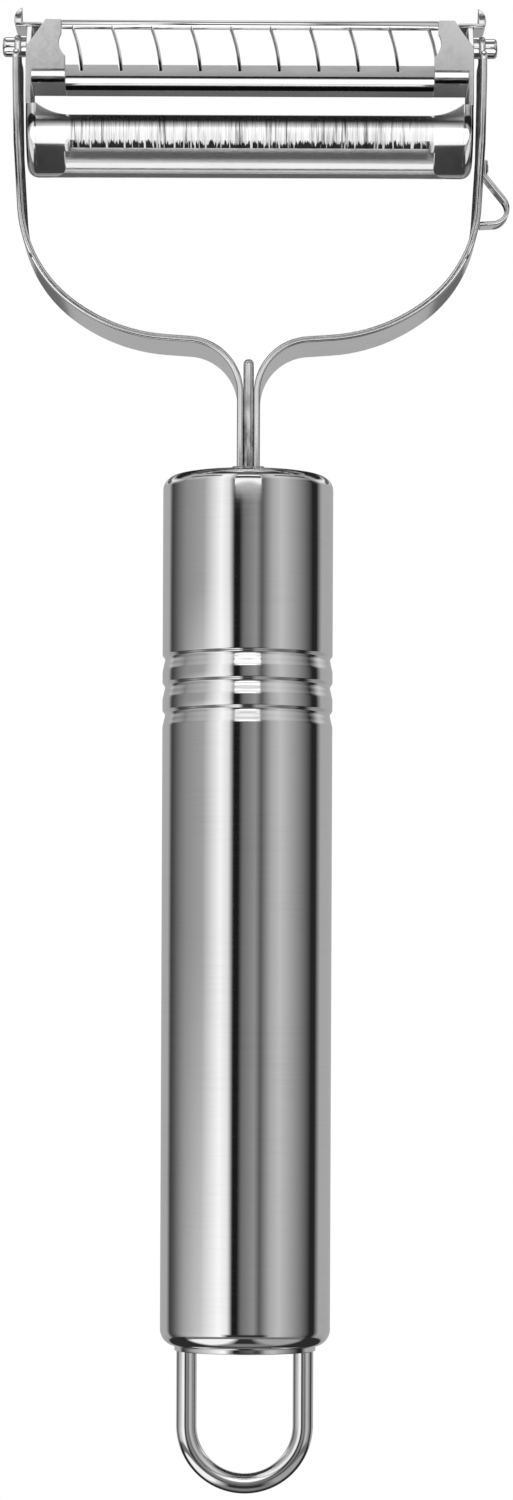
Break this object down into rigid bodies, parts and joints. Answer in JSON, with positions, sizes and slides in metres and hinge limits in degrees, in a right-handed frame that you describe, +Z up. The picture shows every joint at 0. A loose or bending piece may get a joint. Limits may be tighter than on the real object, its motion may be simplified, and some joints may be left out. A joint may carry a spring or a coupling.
{
  "type": "y-peeler",
  "caption": "All-steel Y-shaped vegetable peeler: round grooved handle, wire hanging loop, forked strip yoke, swivelling head with julienne and straight blades, side eye remover.",
  "frame": {"origin": "on the axis of the handle tube, in the middle of the plain grip below the grooves", "axes": "+Z up the handle towards the head, +X along the head towards the side with the eye remover, -Y the front, which the head's flat side faces"},
  "size_m": [0.0596, 0.02, 0.1747],
  "materials": {
    "polished_steel": "mirror-polished stainless steel",
    "satin_steel": "satin stainless steel sheet",
    "blade_steel": "hardened stainless steel with a ground edge",
    "plain_steel": "plain turned or welded steel"
  },
  "bodies": {
    "handle_and_yoke": {"handle_tube": "polished_steel", "stem_anchor": "plain_steel", "end_cap": "polished_steel", "hanging_loop": "polished_steel", "stem_tang": "satin_steel", "stem_weld": "satin_steel", "yoke_arm_left": "satin_steel", "yoke_arm_right": "satin_steel", "pivot_pin_left": "polished_steel", "pivot_pin_right": "polished_steel", "eye_remover": "polished_steel", "eye_weld": "plain_steel"},
    "head": {"head_bracket_left": "satin_steel", "head_bracket_right": "satin_steel", "julienne_blade": "blade_steel", "julienne_teeth": "blade_steel", "guard_bar": "polished_steel", "peeling_blade": "blade_steel"}
  },
  "joints": [
    {"name": "head_swivel", "type": "hinge", "parent": "handle_and_yoke", "child": "head", "pos_m": [0, 0, 0.1152], "axis": [1, 0, 0], "range_deg": [-55, 55]}
  ]
}
